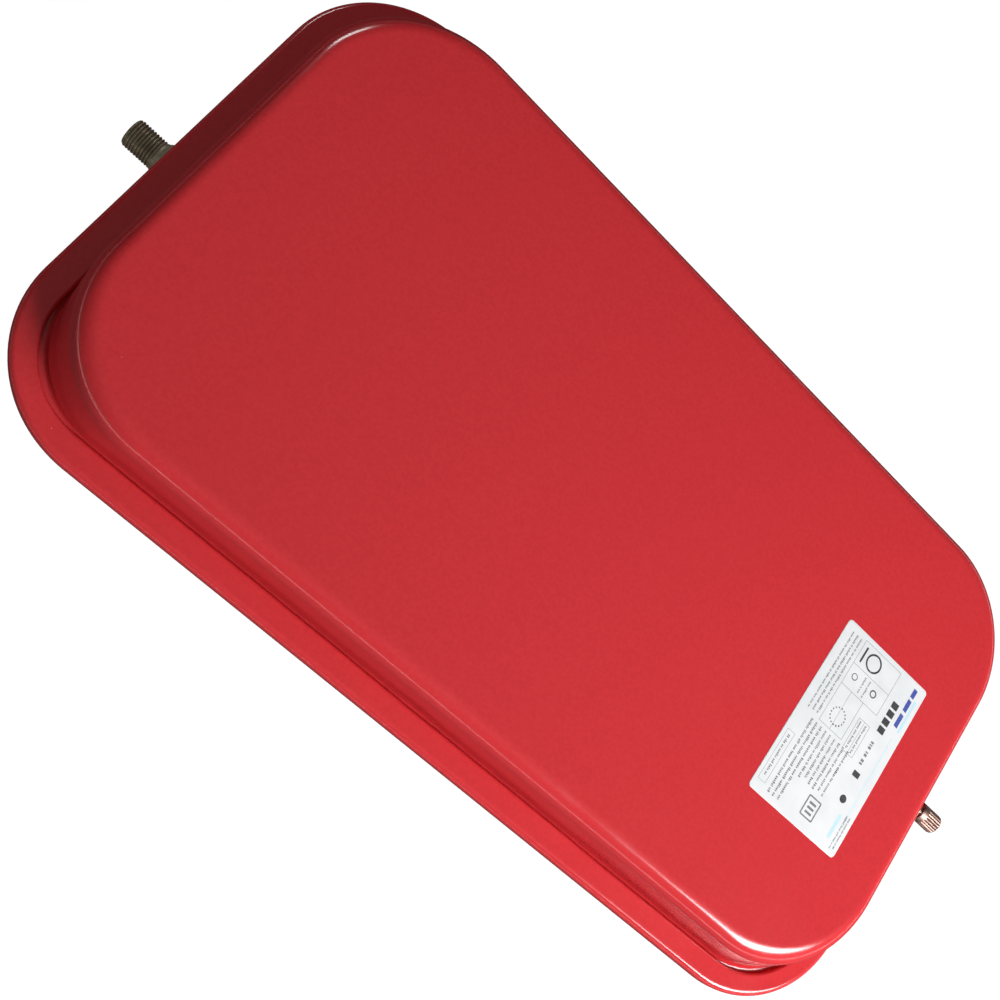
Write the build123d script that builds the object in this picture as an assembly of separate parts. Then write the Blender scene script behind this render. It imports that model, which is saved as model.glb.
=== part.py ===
from build123d import *
import math
import os

# Flat rectangular diaphragm expansion vessel, in millimetres.
# Origin: centre of the rear flat face.
# +X runs along the length to the gas valve, +Z out of the labelled front.

# ---------------------------------------------------------------- driving dimensions
RIM_LENGTH = 442.0
RIM_WIDTH = 250.0
RIM_CORNER = 53.0  # plan radius of the rim
THICKNESS = 93.0  # rear face to front face
RIM_TOP = 62.0  # height of the rim's front side above the rear face
SHEET = 1.3  # steel sheet
WALL_INSET = 13.2  # rim edge to wall
WALL_CORNERS = (38.0, 57.0)  # plan radius of both walls, at the flange and at the face
DRAFT = 1.1  # degrees, on both drawn walls
FRONT_EDGE = 8.0  # radius between wall and face
REAR_EDGE = 9.0
FOOT = 1.5  # radius between wall and flange

LIP_THICKNESS = 2 * SHEET  # the rolled lip is folded back on itself
LIP_WIDTH = 12.0
LIP_CORNER = 36.0  # plan radius of the lip's inner edge
RIM_TOP_EDGE = 3.0  # outer edges of the rolled rim
RIM_BOTTOM_EDGE = 2.0
BEAD = 2.3  # squeezed edge of the diaphragm, flange to flange
FLANGE_GAP = 1.7  # front flange to the rim's outer side

MEMBRANE = 2.0
MEMBRANE_GAP = 2.5  # membrane at rest to the rear shell
MEMBRANE_EDGE = 22.0
BEAD_GAP = 1.6  # bead to the rim's outer side

LABEL_SIZE = (55.0, 91.5)
LABEL_CENTRE = (147.6, -7.0)
LABEL_CORNER = 2.0
LABEL_THICKNESS = 0.15

# Water stub. Distances along X are from the centre.
STUB_HEIGHT = 33.5  # axis above the rear face
STUB_TIP = 240.5
STUB_BORE = 4.25
STUB_SPIGOT = 6.0
STUB_COLLAR = 8.8
STUB_COLLAR_END = 224.2
STUB_NECK = 7.2
STUB_CHAMFER = 0.5
STUB_WELD = 3.5  # leg of the weld along the collar
G_QUARTER = 6.5785  # crest radius of a G 1/4 thread
G_PITCH = 1.337
G_DEPTH = 0.856
G_ANGLE = 27.5  # half angle of the thread form
G_TURNS = 9

# Gas valve
VALVE_HEIGHT = 74.5  # axis above the rear face
STEM_TIP = 225.5
STEM_SPIGOT = 4.9
STEM_COLLAR = 6.2
STEM_COLLAR_LENGTH = 2.6
STEM_WELD = 1.8  # leg of the weld along the collar
V_RADIUS = 3.85  # crest radius of the 8V1 stem thread
V_PITCH = 0.794
V_DEPTH = 0.45
V_TURNS = 14
V_ANGLE = 30.0
CORE_THREAD = 2.6  # crest radius of the 5V1 core thread
CORE_PITCH = 0.706
CORE_DEPTH = 0.35
CORE_TURNS = 4

CAP_TIP = 228.5
CAP_LENGTH = 12.5
CAP_RADIUS = 4.85
CAP_END = 1.6  # thickness of the closed end
CAP_RIBS = 18
GRIP_LENGTH = 9.2
GROOVE = 0.55  # radius of the grooves between the ribs
GASKET_BORE = 1.4

# Valve core, along X from the centre
BARREL_START = 213.5
BARREL_SHOULDER = 214.2
BARREL_FLANGE = 220.0
BARREL_END = 220.55
BARREL_RADIUS = 1.75
BARREL_BORE = 1.25
GAS_WAY = 0.75  # hole round the pin in the barrel's shoulder
SEAT_START = 218.6
SEAT_END = 220.2
SEAT_SMALL = 1.95
SEAT_LARGE = 2.3
PLUG_START = 220.6
PLUG_END = 224.9
PLUG_SHOULDER = 0.9  # plain end of the plug, outside its thread
PIN_RADIUS = 0.45
PIN_END = 225.2
PIN_COLLAR_START = 219.2
PIN_COLLAR_END = 219.7
PIN_COLLAR = 1.05
CUP_START = 211.3
CUP_FLOOR = 212.2
CUP_RIM = 212.9
CUP_RADIUS = 1.6
WIRE = 0.14  # radius of the spring's wire
SPRING_RADIUS = 0.86
SPRING_COILS = 6

RUNNING = 0.05  # radial clearance of fits
SLIP = 0.03  # clearance of seals

# ---------------------------------------------------------------- worked out
WALL_REACH = RIM_LENGTH / 2 - WALL_INSET  # end wall at the flange, from the centre
LIP_BOTTOM = RIM_TOP - LIP_THICKNESS
FRONT_SEAM = LIP_BOTTOM - SHEET  # seam side of the front flange
REAR_SEAM = FRONT_SEAM - BEAD  # seam side of the rear flange
RIM_BOTTOM = REAR_SEAM - SHEET
SLOPE = math.tan(math.radians(DRAFT))
VALVE_WALL = WALL_REACH - (VALVE_HEIGHT - FRONT_SEAM) * SLOPE  # outside of the wall at the valve
STUB_WALL = WALL_REACH - (REAR_SEAM - STUB_HEIGHT) * SLOPE
OUTSIDE = 10.0  # how far a cutting body runs past the wall

os.makedirs("parts", exist_ok=True)


def save(name, solid):
    """Write one node as a STEP file."""
    solid.label = name
    export_step(solid, f"parts/{name}.step")


# ---------------------------------------------------------------- shapes that repeat
def outline(inset, corner, height=0.0):
    """A rounded rectangle lying flat at a height, pulled in from the rim's outline by the inset."""
    return Plane.XY.offset(height) * RectangleRounded(
        RIM_LENGTH - 2 * inset, RIM_WIDTH - 2 * inset, corner
    )


def rim_slab(inset, bottom, height):
    """A block with the rim's outline, pulled in by the inset."""
    return extrude(outline(inset, RIM_CORNER - inset, bottom), height)


def level_edges(solid, height, inside_of=None, outside_of=None):
    """Edges lying flat at a height, whose ends are inside or outside an inset from the rim."""
    tolerance = 0.01
    found = []
    for edge in solid.edges():
        box = edge.bounding_box()
        if abs(box.min.Z - height) > tolerance or abs(box.max.Z - height) > tolerance:
            continue
        ends = (edge @ 0, edge @ 1)
        inset = -max(max(abs(p.X) - RIM_LENGTH / 2, abs(p.Y) - RIM_WIDTH / 2) for p in ends)
        if inside_of is not None and inset < inside_of:
            continue
        if outside_of is not None and inset > outside_of:
            continue
        found.append(edge)
    return found


def drawn_block(depth, edge, offset=0.0):
    """The full block inside a drawn pan: seam side at z = 0, face up. Its corners lean in."""
    inset = WALL_INSET + offset
    foot_corner, face_corner = (corner - offset for corner in WALL_CORNERS)
    face = outline(inset + depth * SLOPE, face_corner, depth)
    block = loft([outline(inset, foot_corner), face], ruled=True)
    return fillet(block.faces().sort_by(Axis.Z)[-1].edges(), edge)


def drawn_pan(depth, edge, sheet, flange, flange_inset, offset=0.0):
    """A drawn pan with a flat flange: seam side at z = 0, face up."""
    inset = WALL_INSET + offset
    outside = drawn_block(depth, edge, offset)
    hollow = drawn_block(depth - sheet, edge - sheet, offset + sheet)
    pan = outside + rim_slab(flange_inset, 0, flange) - hollow
    pan = fillet(level_edges(pan, flange, inside_of=inset - 0.5), FOOT)
    return fillet(level_edges(pan, 0, inside_of=inset + 0.1), FOOT + sheet - 0.1)


def turned(height, points):
    """A body turned about the X axis at a height. Points are (x, radius)."""
    plane = Plane(origin=(0, 0, height), x_dir=(1, 0, 0), z_dir=(0, -1, 0))
    face = plane * make_face(Polyline(*points, close=True))
    return revolve(face, Axis((0, 0, height), (1, 0, 0)), 360)


def tube(height, start, end, inner, outer):
    """A plain turned ring."""
    return turned(height, [(start, inner), (end, inner), (end, outer), (start, outer)])


def thread_points(start, direction, turns, pitch, crest, depth, half_angle):
    """Profile of a thread as plain rings, from root to root. Points are (x, radius)."""
    flank = depth * math.tan(math.radians(half_angle))
    flat = pitch / 2 - flank
    root = crest - depth
    points = []
    for turn in range(turns):
        foot = turn * pitch + flat / 2
        for along, radius in ((0, root), (flank, crest), (flank + flat, crest), (2 * flank + flat, root)):
            points.append((start + direction * (foot + along), radius))
    return points


# ---------------------------------------------------------------- pressed shells
def make_front_shell():
    """Gas side: the labelled pan, with the valve hole in its end wall."""
    pan = drawn_pan(THICKNESS - FRONT_SEAM, FRONT_EDGE, SHEET, SHEET, FLANGE_GAP)
    hole = tube(VALVE_HEIGHT, VALVE_WALL - OUTSIDE, VALVE_WALL + OUTSIDE, 0, STEM_SPIGOT + RUNNING)
    return Pos(0, 0, FRONT_SEAM) * pan - hole


def make_rear_shell():
    """Water side: the deeper pan, whose edge is rolled over the front flange."""
    pan = drawn_pan(REAR_SEAM, REAR_EDGE, SHEET, SHEET, 0)
    shell = Pos(0, 0, REAR_SEAM) * mirror(pan, about=Plane.XY)
    height = RIM_TOP - RIM_BOTTOM
    side = rim_slab(0, RIM_BOTTOM, height) - rim_slab(SHEET, RIM_BOTTOM, height)
    lip = rim_slab(0, LIP_BOTTOM, LIP_THICKNESS)
    lip -= extrude(outline(LIP_WIDTH, LIP_CORNER, LIP_BOTTOM), LIP_THICKNESS)
    shell = shell + side + lip
    shell = fillet(level_edges(shell, RIM_TOP, outside_of=0.5), RIM_TOP_EDGE)
    shell = fillet(level_edges(shell, RIM_BOTTOM, outside_of=0.5), RIM_BOTTOM_EDGE)
    nose = level_edges(shell, RIM_TOP, inside_of=LIP_WIDTH - 0.5)
    nose += level_edges(shell, LIP_BOTTOM, inside_of=LIP_WIDTH - 0.5)
    shell = fillet(nose, LIP_THICKNESS / 2 - RUNNING)
    return shell - tube(STUB_HEIGHT, -STUB_WALL - OUTSIDE, -STUB_WALL + OUTSIDE, 0, STUB_SPIGOT + RUNNING)


# ---------------------------------------------------------------- diaphragm
def make_diaphragm():
    """Rubber pan lying in the rear shell, its edge clamped between the flanges."""
    seam = FRONT_SEAM - RUNNING
    space = SHEET + MEMBRANE_GAP
    bead = BEAD - 2 * RUNNING
    pan = drawn_pan(seam - space, MEMBRANE_EDGE, MEMBRANE, bead, BEAD_GAP, space)
    return Pos(0, 0, seam) * mirror(pan, about=Plane.XY)


# ---------------------------------------------------------------- label
def make_rating_label():
    """Rounded sticker on the front face."""
    film = RectangleRounded(*LABEL_SIZE, LABEL_CORNER)
    return Pos(*LABEL_CENTRE, THICKNESS) * extrude(film, LABEL_THICKNESS)


# ---------------------------------------------------------------- water connection
def make_water_stub(shell_block):
    """Turned nipple: spigot through the wall, collar, neck, thread with a chamfered end."""
    thread_start = STUB_TIP - STUB_CHAMFER - G_TURNS * G_PITCH
    root = G_QUARTER - G_DEPTH
    inner = STUB_WALL - SHEET - 0.2
    seat = STUB_WALL + 0.3
    body = [
        (-inner, STUB_BORE),
        (-inner, STUB_SPIGOT),
        (-seat, STUB_SPIGOT),
        (-seat, STUB_COLLAR),
        (-STUB_COLLAR_END, STUB_COLLAR),
        (-STUB_COLLAR_END - (STUB_COLLAR - STUB_NECK), STUB_NECK),
        (-thread_start + 0.9, STUB_NECK),
        (-thread_start + 0.2, root),
    ]
    thread = thread_points(-thread_start, -1, G_TURNS, G_PITCH, G_QUARTER, G_DEPTH, G_ANGLE)
    tip = [
        (-STUB_TIP, root),
        (-STUB_TIP, STUB_BORE + STUB_CHAMFER),
        (-STUB_TIP + STUB_CHAMFER, STUB_BORE),
    ]
    foot = tube(STUB_HEIGHT, -STUB_WALL + OUTSIDE, -seat, STUB_SPIGOT, STUB_COLLAR)
    return turned(STUB_HEIGHT, body + thread + tip) + (foot - shell_block)


def make_weld_bead(height, wall, direction, collar, leg, foot, shell_block, inner_piece):
    """Fillet weld round a collar. It rests on the wall's outside and swells slightly."""
    points = [
        (wall - direction * 3, collar - 0.2),
        (wall - direction * 3, collar + foot),
        (wall + direction * 0.3, collar + foot - 0.1),
        (wall + direction * leg * 0.6, collar + foot * 0.66),
        (wall + direction * leg, collar),
        (wall + direction * leg, collar - 0.2),
    ]
    return turned(height, points) - shell_block - inner_piece


# ---------------------------------------------------------------- gas valve
def core_thread(clearance):
    """Rings of the core thread, from the plug's outer end inwards."""
    start = PLUG_END - PLUG_SHOULDER
    return thread_points(
        start, -1, CORE_TURNS, CORE_PITCH, CORE_THREAD + clearance, CORE_DEPTH, V_ANGLE
    )


def make_valve_stem(shell_block):
    """Turned stem: spigot through the wall, collar, 8V1 thread, core bore with a tapered seat."""
    inner = VALVE_WALL - SHEET - 0.7
    seat = VALVE_WALL + 0.3
    collar_end = VALVE_WALL + STEM_COLLAR_LENGTH
    root = V_RADIUS - V_DEPTH
    outside = [
        (inner, SEAT_SMALL),
        (inner, STEM_SPIGOT),
        (seat, STEM_SPIGOT),
        (seat, STEM_COLLAR),
        (collar_end - 0.4, STEM_COLLAR),
        (collar_end, STEM_COLLAR - 0.4),
        (collar_end, root),
    ]
    thread_start = STEM_TIP - 0.4 - V_TURNS * V_PITCH
    thread = thread_points(thread_start, 1, V_TURNS, V_PITCH, V_RADIUS, V_DEPTH, V_ANGLE)
    mouth = [(STEM_TIP, root), (STEM_TIP, 3.0), (PLUG_END + 0.3, CORE_THREAD + RUNNING)]
    bore = core_thread(RUNNING) + [(SEAT_END, SEAT_LARGE), (SEAT_START, SEAT_SMALL)]
    foot = tube(VALVE_HEIGHT, VALVE_WALL - OUTSIDE, seat, STEM_SPIGOT, STEM_COLLAR)
    return turned(VALVE_HEIGHT, outside + thread + mouth + bore) + (foot - shell_block)


def make_core_plug():
    """Threaded plug with two flats for the key and a gas way round the pin."""
    root = CORE_THREAD - CORE_DEPTH
    bore = PIN_RADIUS + 0.4
    points = [(PLUG_END, bore), (PLUG_END, 2.0), (PLUG_END - PLUG_SHOULDER, root)]
    points += core_thread(0) + [(PLUG_START, root), (PLUG_START, bore)]
    plug = turned(VALVE_HEIGHT, points)
    for side in (1, -1):
        plug -= Pos(PLUG_END, side * 2.0, VALVE_HEIGHT) * Box(2 * PLUG_SHOULDER, 1.6, 6)
    return plug


def make_core_barrel():
    """Tube with an inner shoulder for the spring and a flange that presses the seal."""
    points = [
        (BARREL_START, GAS_WAY),
        (BARREL_START, BARREL_RADIUS),
        (BARREL_FLANGE, BARREL_RADIUS),
        (BARREL_FLANGE, BARREL_RADIUS + 0.45),
        (BARREL_END, BARREL_RADIUS + 0.45),
        (BARREL_END, BARREL_BORE),
        (BARREL_SHOULDER, BARREL_BORE),
        (BARREL_SHOULDER, GAS_WAY),
    ]
    return turned(VALVE_HEIGHT, points)


def seat_radius(x):
    """Radius of the stem's tapered seat at a place along its axis."""
    return SEAT_SMALL + (x - SEAT_START) * (SEAT_LARGE - SEAT_SMALL) / (SEAT_END - SEAT_START)


def make_core_barrel_seal():
    """Tapered ring between barrel and seat."""
    start = SEAT_START + 0.3
    end = BARREL_FLANGE - RUNNING
    inside = BARREL_RADIUS + SLIP
    points = [
        (start, inside),
        (start, seat_radius(start) - SLIP),
        (end, seat_radius(end) - SLIP),
        (end, inside),
    ]
    return turned(VALVE_HEIGHT, points)


def make_core_pin():
    """Pin with a button on its outer end and a collar for the spring."""
    button = 0.7
    points = [
        (CUP_START + 0.3, 0),
        (CUP_START + 0.3, PIN_RADIUS),
        (PIN_COLLAR_START, PIN_RADIUS),
        (PIN_COLLAR_START, PIN_COLLAR),
        (PIN_COLLAR_END, PIN_COLLAR),
        (PIN_COLLAR_END, PIN_RADIUS),
        (PIN_END - button, PIN_RADIUS),
        (PIN_END - button + 0.1, button),
        (PIN_END - 0.1, button),
        (PIN_END, button - 0.1),
        (PIN_END, 0),
    ]
    return turned(VALVE_HEIGHT, points)


def make_core_spring():
    """Compression spring from the barrel's shoulder to the pin's collar."""
    start = BARREL_SHOULDER + WIRE + RUNNING / 2
    length = PIN_COLLAR_START - WIRE - RUNNING / 2 - start
    path = Helix(pitch=length / SPRING_COILS, height=length, radius=SPRING_RADIUS)
    section = Plane(origin=path @ 0, z_dir=path % 0) * Circle(WIRE)
    return Pos(start, 0, VALVE_HEIGHT) * Rot(0, 90, 0) * sweep(section, path=path)


def make_core_plunger():
    """Cup on the pin's inner end."""
    points = [
        (CUP_START, 0),
        (CUP_START, CUP_RADIUS - 0.3),
        (CUP_START + 0.3, CUP_RADIUS),
        (CUP_RIM, CUP_RADIUS),
        (CUP_RIM, CUP_RADIUS - 0.2),
        (CUP_FLOOR, CUP_RADIUS - 0.2),
        (CUP_FLOOR, PIN_RADIUS),
        (CUP_START + 0.3, PIN_RADIUS),
        (CUP_START + 0.3, 0),
    ]
    return turned(VALVE_HEIGHT, points)


def make_core_plunger_seal():
    """Rubber washer in the cup, against the barrel's inner end."""
    return tube(VALVE_HEIGHT, CUP_FLOOR, BARREL_START - RUNNING, PIN_RADIUS, CUP_RADIUS - 0.2)


def make_valve_cap():
    """Knurled screw cap: smooth skirt, ribbed grip, rounded end."""
    start = CAP_TIP - CAP_LENGTH
    inside = V_RADIUS + RUNNING
    points = [
        (start, inside + 0.3),
        (start, CAP_RADIUS - 0.2),
        (start + 0.2, CAP_RADIUS),
        (CAP_TIP - 0.9, CAP_RADIUS),
        (CAP_TIP - 0.25, CAP_RADIUS - 0.5),
        (CAP_TIP, CAP_RADIUS - 1.3),
        (CAP_TIP, 0),
        (CAP_TIP - CAP_END, 0),
        (CAP_TIP - CAP_END, inside),
        (start + 0.3, inside),
    ]
    cap = turned(VALVE_HEIGHT, points)
    groove = Pos(CAP_TIP - GRIP_LENGTH / 2, 0, CAP_RADIUS + 0.25)
    groove *= Rot(0, 90, 0) * Cylinder(GROOVE, GRIP_LENGTH)
    for rib in range(CAP_RIBS):
        cap -= Pos(0, 0, VALVE_HEIGHT) * Rot(360 / CAP_RIBS * (rib + 0.5), 0, 0) * groove
    return cap


def make_cap_gasket():
    """Rubber washer between the cap's end and the stem's mouth."""
    floor = CAP_TIP - CAP_END - RUNNING
    return tube(VALVE_HEIGHT, STEM_TIP + RUNNING, floor, GASKET_BORE, V_RADIUS - RUNNING)


# ---------------------------------------------------------------- build and write
front_block = Pos(0, 0, FRONT_SEAM) * drawn_block(THICKNESS - FRONT_SEAM, FRONT_EDGE)
rear_block = Pos(0, 0, REAR_SEAM) * mirror(drawn_block(REAR_SEAM, REAR_EDGE), about=Plane.XY)
water_stub = make_water_stub(rear_block)
valve_stem = make_valve_stem(front_block)

nodes = {
    "front_shell": make_front_shell(),
    "rear_shell": make_rear_shell(),
    "diaphragm": make_diaphragm(),
    "rating_label": make_rating_label(),
    "water_stub": water_stub,
    "stub_weld_bead": make_weld_bead(
        STUB_HEIGHT, -STUB_WALL, -1, STUB_COLLAR, STUB_WELD, 3.6, rear_block, water_stub
    ),
    "valve_stem": valve_stem,
    "valve_weld_bead": make_weld_bead(
        VALVE_HEIGHT, VALVE_WALL, 1, STEM_COLLAR, STEM_WELD, 2.1, front_block, valve_stem
    ),
    "core_plug": make_core_plug(),
    "core_barrel": make_core_barrel(),
    "core_barrel_seal": make_core_barrel_seal(),
    "core_pin": make_core_pin(),
    "core_spring": make_core_spring(),
    "core_plunger": make_core_plunger(),
    "core_plunger_seal": make_core_plunger_seal(),
    "valve_cap": make_valve_cap(),
    "cap_gasket": make_cap_gasket(),
}
for name, solid in nodes.items():
    save(name, solid)
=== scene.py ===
import math
import random

import bmesh
import bpy
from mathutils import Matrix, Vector


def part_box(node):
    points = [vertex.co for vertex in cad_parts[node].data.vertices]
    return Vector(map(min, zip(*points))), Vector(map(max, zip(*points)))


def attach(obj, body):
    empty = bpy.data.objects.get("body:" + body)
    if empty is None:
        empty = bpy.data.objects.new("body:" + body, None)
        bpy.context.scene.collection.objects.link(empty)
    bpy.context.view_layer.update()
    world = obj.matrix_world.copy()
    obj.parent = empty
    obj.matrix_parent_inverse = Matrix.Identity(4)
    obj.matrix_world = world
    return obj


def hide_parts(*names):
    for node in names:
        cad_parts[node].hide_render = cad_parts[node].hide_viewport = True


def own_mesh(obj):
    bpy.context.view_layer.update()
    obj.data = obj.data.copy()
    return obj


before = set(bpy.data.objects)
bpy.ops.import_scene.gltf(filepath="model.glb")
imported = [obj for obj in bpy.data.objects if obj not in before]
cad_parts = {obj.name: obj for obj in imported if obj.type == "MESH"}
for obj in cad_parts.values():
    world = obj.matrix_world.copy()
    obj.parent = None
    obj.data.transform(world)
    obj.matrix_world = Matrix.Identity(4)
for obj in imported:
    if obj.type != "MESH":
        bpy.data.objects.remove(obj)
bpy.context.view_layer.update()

# Flat rectangular expansion vessel.
# Lengths in the mesh builders are millimetres, turned to metres when a mesh is made.
MM = 0.001

# ---------------------------------------------------------------- sizes, from the frame
rear_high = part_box("rear_shell")[1] / MM
front_low, front_high = (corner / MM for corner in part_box("front_shell"))
label_low, label_high = (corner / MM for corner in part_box("rating_label"))
stub_low, stub_high = (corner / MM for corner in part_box("water_stub"))
stem_low, stem_high = (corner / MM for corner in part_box("valve_stem"))
cap_low, cap_high = (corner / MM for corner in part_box("valve_cap"))
membrane_low, membrane_high = (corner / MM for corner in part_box("diaphragm"))
spring_low, spring_high = (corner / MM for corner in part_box("core_spring"))

HALF_X, HALF_Y = rear_high.x, rear_high.y
RIM_TOP, FACE = rear_high.z, front_high.z
SHEET = 1.3  # steel sheet
FRONT_SEAM = front_low.z
LIP_BOTTOM = FRONT_SEAM + SHEET
BEAD = 2.3  # squeezed edge of the diaphragm, flange to flange
REAR_SEAM = FRONT_SEAM - BEAD
RIM_BOTTOM = REAR_SEAM - SHEET
RIM_CORNER = 53.0
RIM_TOP_EDGE, RIM_BOTTOM_EDGE = 3.0, 2.0
WALL_INSET = 13.2  # rim edge to wall
FOOT_CORNER, FACE_CORNER = 38.0, 57.0  # plan radius of the walls, at the flange and at the face
LIP_WIDTH = 12.0
LIP_THICKNESS = RIM_TOP - LIP_BOTTOM
LIP_TIGHTENS = 3.6  # inset where the lip's corners start to tighten
LIP_CORNER = 36.0
DRAFT = math.radians(1.1)  # of both drawn walls
SLOPE = math.tan(DRAFT)
FRONT_EDGE = 8.0
REAR_EDGE = 9.0
FOOT = 1.5  # radius between wall and flange
BEND = FOOT + SHEET  # the same radius on the inside of the sheet
FACE_INSET = 66.0  # where the stepped rings of a face end

STUB_HEIGHT = (stub_low.z + stub_high.z) / 2
VALVE_HEIGHT = (cap_low.z + cap_high.z) / 2
STUB_WALL = HALF_X - WALL_INSET - (REAR_SEAM - STUB_HEIGHT) * SLOPE
VALVE_WALL = HALF_X - WALL_INSET - (VALVE_HEIGHT - FRONT_SEAM) * SLOPE

STUB_BORE, STUB_SPIGOT, STUB_COLLAR = 4.25, 6.0, 8.8
STUB_THREAD = (6.5785, 0.6, 1.337)  # crest radius, depth, pitch
STEM_SPIGOT, STEM_COLLAR = 4.88, 6.2
STEM_THREAD = (3.85, 0.45, 0.794)
CAP_RADIUS, CAP_RIBS, GRIP_LENGTH = 4.85, 18, 9.2
STUB_HOLE, VALVE_HOLE = 6.05, 4.95  # radii of the holes in the end walls

SHARP = 38  # degrees, where smooth shading splits
CORNER_STEPS = 28
LONG_STEPS = 44
SHORT_STEPS = 20


# ---------------------------------------------------------------- mesh helpers
def make_object(name, vertices, faces, sharp=SHARP):
    """A closed mesh piece from points in millimetres, smooth except across sharp edges."""
    mesh = bpy.data.meshes.new(name)
    mesh.from_pydata([tuple(c * MM for c in v) for v in vertices], [], faces)
    shape = bmesh.new()
    shape.from_mesh(mesh)
    bmesh.ops.remove_doubles(shape, verts=shape.verts, dist=1e-7)
    bmesh.ops.recalc_face_normals(shape, faces=shape.faces)
    shape.to_mesh(mesh)
    shape.free()
    piece = bpy.data.objects.new(name, mesh)
    bpy.context.scene.collection.objects.link(piece)
    shade(piece, sharp)
    return piece


def shade(piece, sharp):
    """Smooth shading, split where faces meet at more than an angle."""
    mesh = piece.data
    mesh.polygons.foreach_set("use_smooth", [True] * len(mesh.polygons))
    mesh.set_sharp_from_angle(angle=math.radians(sharp))
    mesh.update()


def strip_faces(rows, columns, closed_rows):
    """Quads between rows of points. Each row is a closed ring of columns points."""
    faces = []
    for row in range(rows if closed_rows else rows - 1):
        here, after = row * columns, (row + 1) % rows * columns
        for column in range(columns):
            right = (column + 1) % columns
            faces.append((here + column, here + right, after + right, after + column))
    return faces


def outline(half_x, half_y, corner):
    """Points round a rounded rectangle, the same number for every size."""
    def on_corner(quarter, share):
        angle = math.radians(90 * (quarter + share))
        side_x = 1 if quarter in (0, 3) else -1
        side_y = 1 if quarter in (0, 1) else -1
        return (
            side_x * (half_x - corner) + corner * math.cos(angle),
            side_y * (half_y - corner) + corner * math.sin(angle),
        )

    points = []
    for quarter in range(4):
        points += [on_corner(quarter, step / CORNER_STEPS) for step in range(CORNER_STEPS + 1)]
        start, end = points[-1], on_corner((quarter + 1) % 4, 0)
        steps = LONG_STEPS if quarter in (0, 2) else SHORT_STEPS
        for step in range(1, steps):
            share = step / steps
            points.append(tuple(a + (b - a) * share for a, b in zip(start, end)))
    return points


def arc(inset, height, radius, start, end, steps):
    """Points (inset, z) on an arc of a section. Angle 0 points outwards, 90 up."""
    points = []
    for step in range(steps + 1):
        angle = math.radians(start + (end - start) * step / steps)
        points.append((inset - radius * math.cos(angle), height + radius * math.sin(angle)))
    return points


def wall_corner(z):
    """Plan radius of the outside of the drawn walls at a height. The corners lean in towards each face."""
    if z > FRONT_SEAM:
        share = (z - FRONT_SEAM) / (FACE - FRONT_SEAM)
    else:
        share = max(0.0, (REAR_SEAM - z) / REAR_SEAM)
    return FOOT_CORNER + (FACE_CORNER - FOOT_CORNER) * share


def on_wall(points):
    """Stations of a section whose plan corners follow the drawn walls."""
    return [(inset, z, wall_corner(z) + wall_inset(z) - inset) for inset, z in points]


def on_rim(points):
    """Stations of a section whose plan corners follow the rim."""
    return [(inset, z, RIM_CORNER - inset) for inset, z in points]


def on_lip(points):
    """Stations of the rolled lip, whose inner edge has a tighter corner than the rim's own offset."""
    extra = RIM_CORNER - LIP_WIDTH - LIP_CORNER
    stations = []
    for inset, z in points:
        share = min(1.0, max(0.0, inset - LIP_TIGHTENS) / (LIP_WIDTH - LIP_TIGHTENS))
        stations.append((inset, z, RIM_CORNER - inset - extra * share))
    return stations


def swept(name, stations, wander=None):
    """A closed shell: a section swept round the vessel, its two ends closed by flat faces."""
    vertices = []
    for inset, z, corner in stations:
        for x, y in outline(HALF_X - inset, HALF_Y - inset, corner):
            point = (x, y, z)
            vertices.append(wander(point, inset, z) if wander else point)
    columns = len(vertices) // len(stations)
    faces = strip_faces(len(stations), columns, False)
    faces.append(tuple(range(columns)))
    last = (len(stations) - 1) * columns
    faces.append(tuple(range(last, last + columns)))
    return make_object(name, vertices, faces)


def lathed(name, profile, height, segments, relief=None, sharp=SHARP):
    """A turned piece about the X axis at a height. profile is a closed loop of (x, radius)."""
    vertices = []
    for x, radius in profile:
        for segment in range(segments):
            angle = 2 * math.pi * segment / segments
            r = relief(x, angle, radius) if relief else radius
            vertices.append((x, r * math.cos(angle), height + r * math.sin(angle)))
    return make_object(name, vertices, strip_faces(len(profile), segments, True), sharp)


def cut_hole(piece, x_from, x_to, height, radius):
    """Cuts a round hole along X through a shell's wall."""
    cutter = lathed(
        "cutter", [(x_from, 0.01), (x_from, radius), (x_to, radius), (x_to, 0.01)], height, 64
    )
    change = piece.modifiers.new("hole", "BOOLEAN")
    change.operation = "DIFFERENCE"
    change.solver = "EXACT"
    change.object = cutter
    graph = bpy.context.evaluated_depsgraph_get()
    mesh = bpy.data.meshes.new_from_object(piece.evaluated_get(graph))
    piece.modifiers.remove(change)
    piece.data = mesh
    bpy.data.objects.remove(cutter)
    shade(piece, SHARP)


def between(value, low, high):
    """0 below low, 1 above high, smooth between."""
    share = min(1.0, max(0.0, (value - low) / (high - low)))
    return share * share * (3 - 2 * share)


def tooth(phase, crest, root):
    """Height of a thread form, 0 at the root and 1 at the crest, over one pitch."""
    distance = abs(phase - math.floor(phase) - 0.5) * 2
    return 1 - between(distance, crest, 1 - root)


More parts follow.
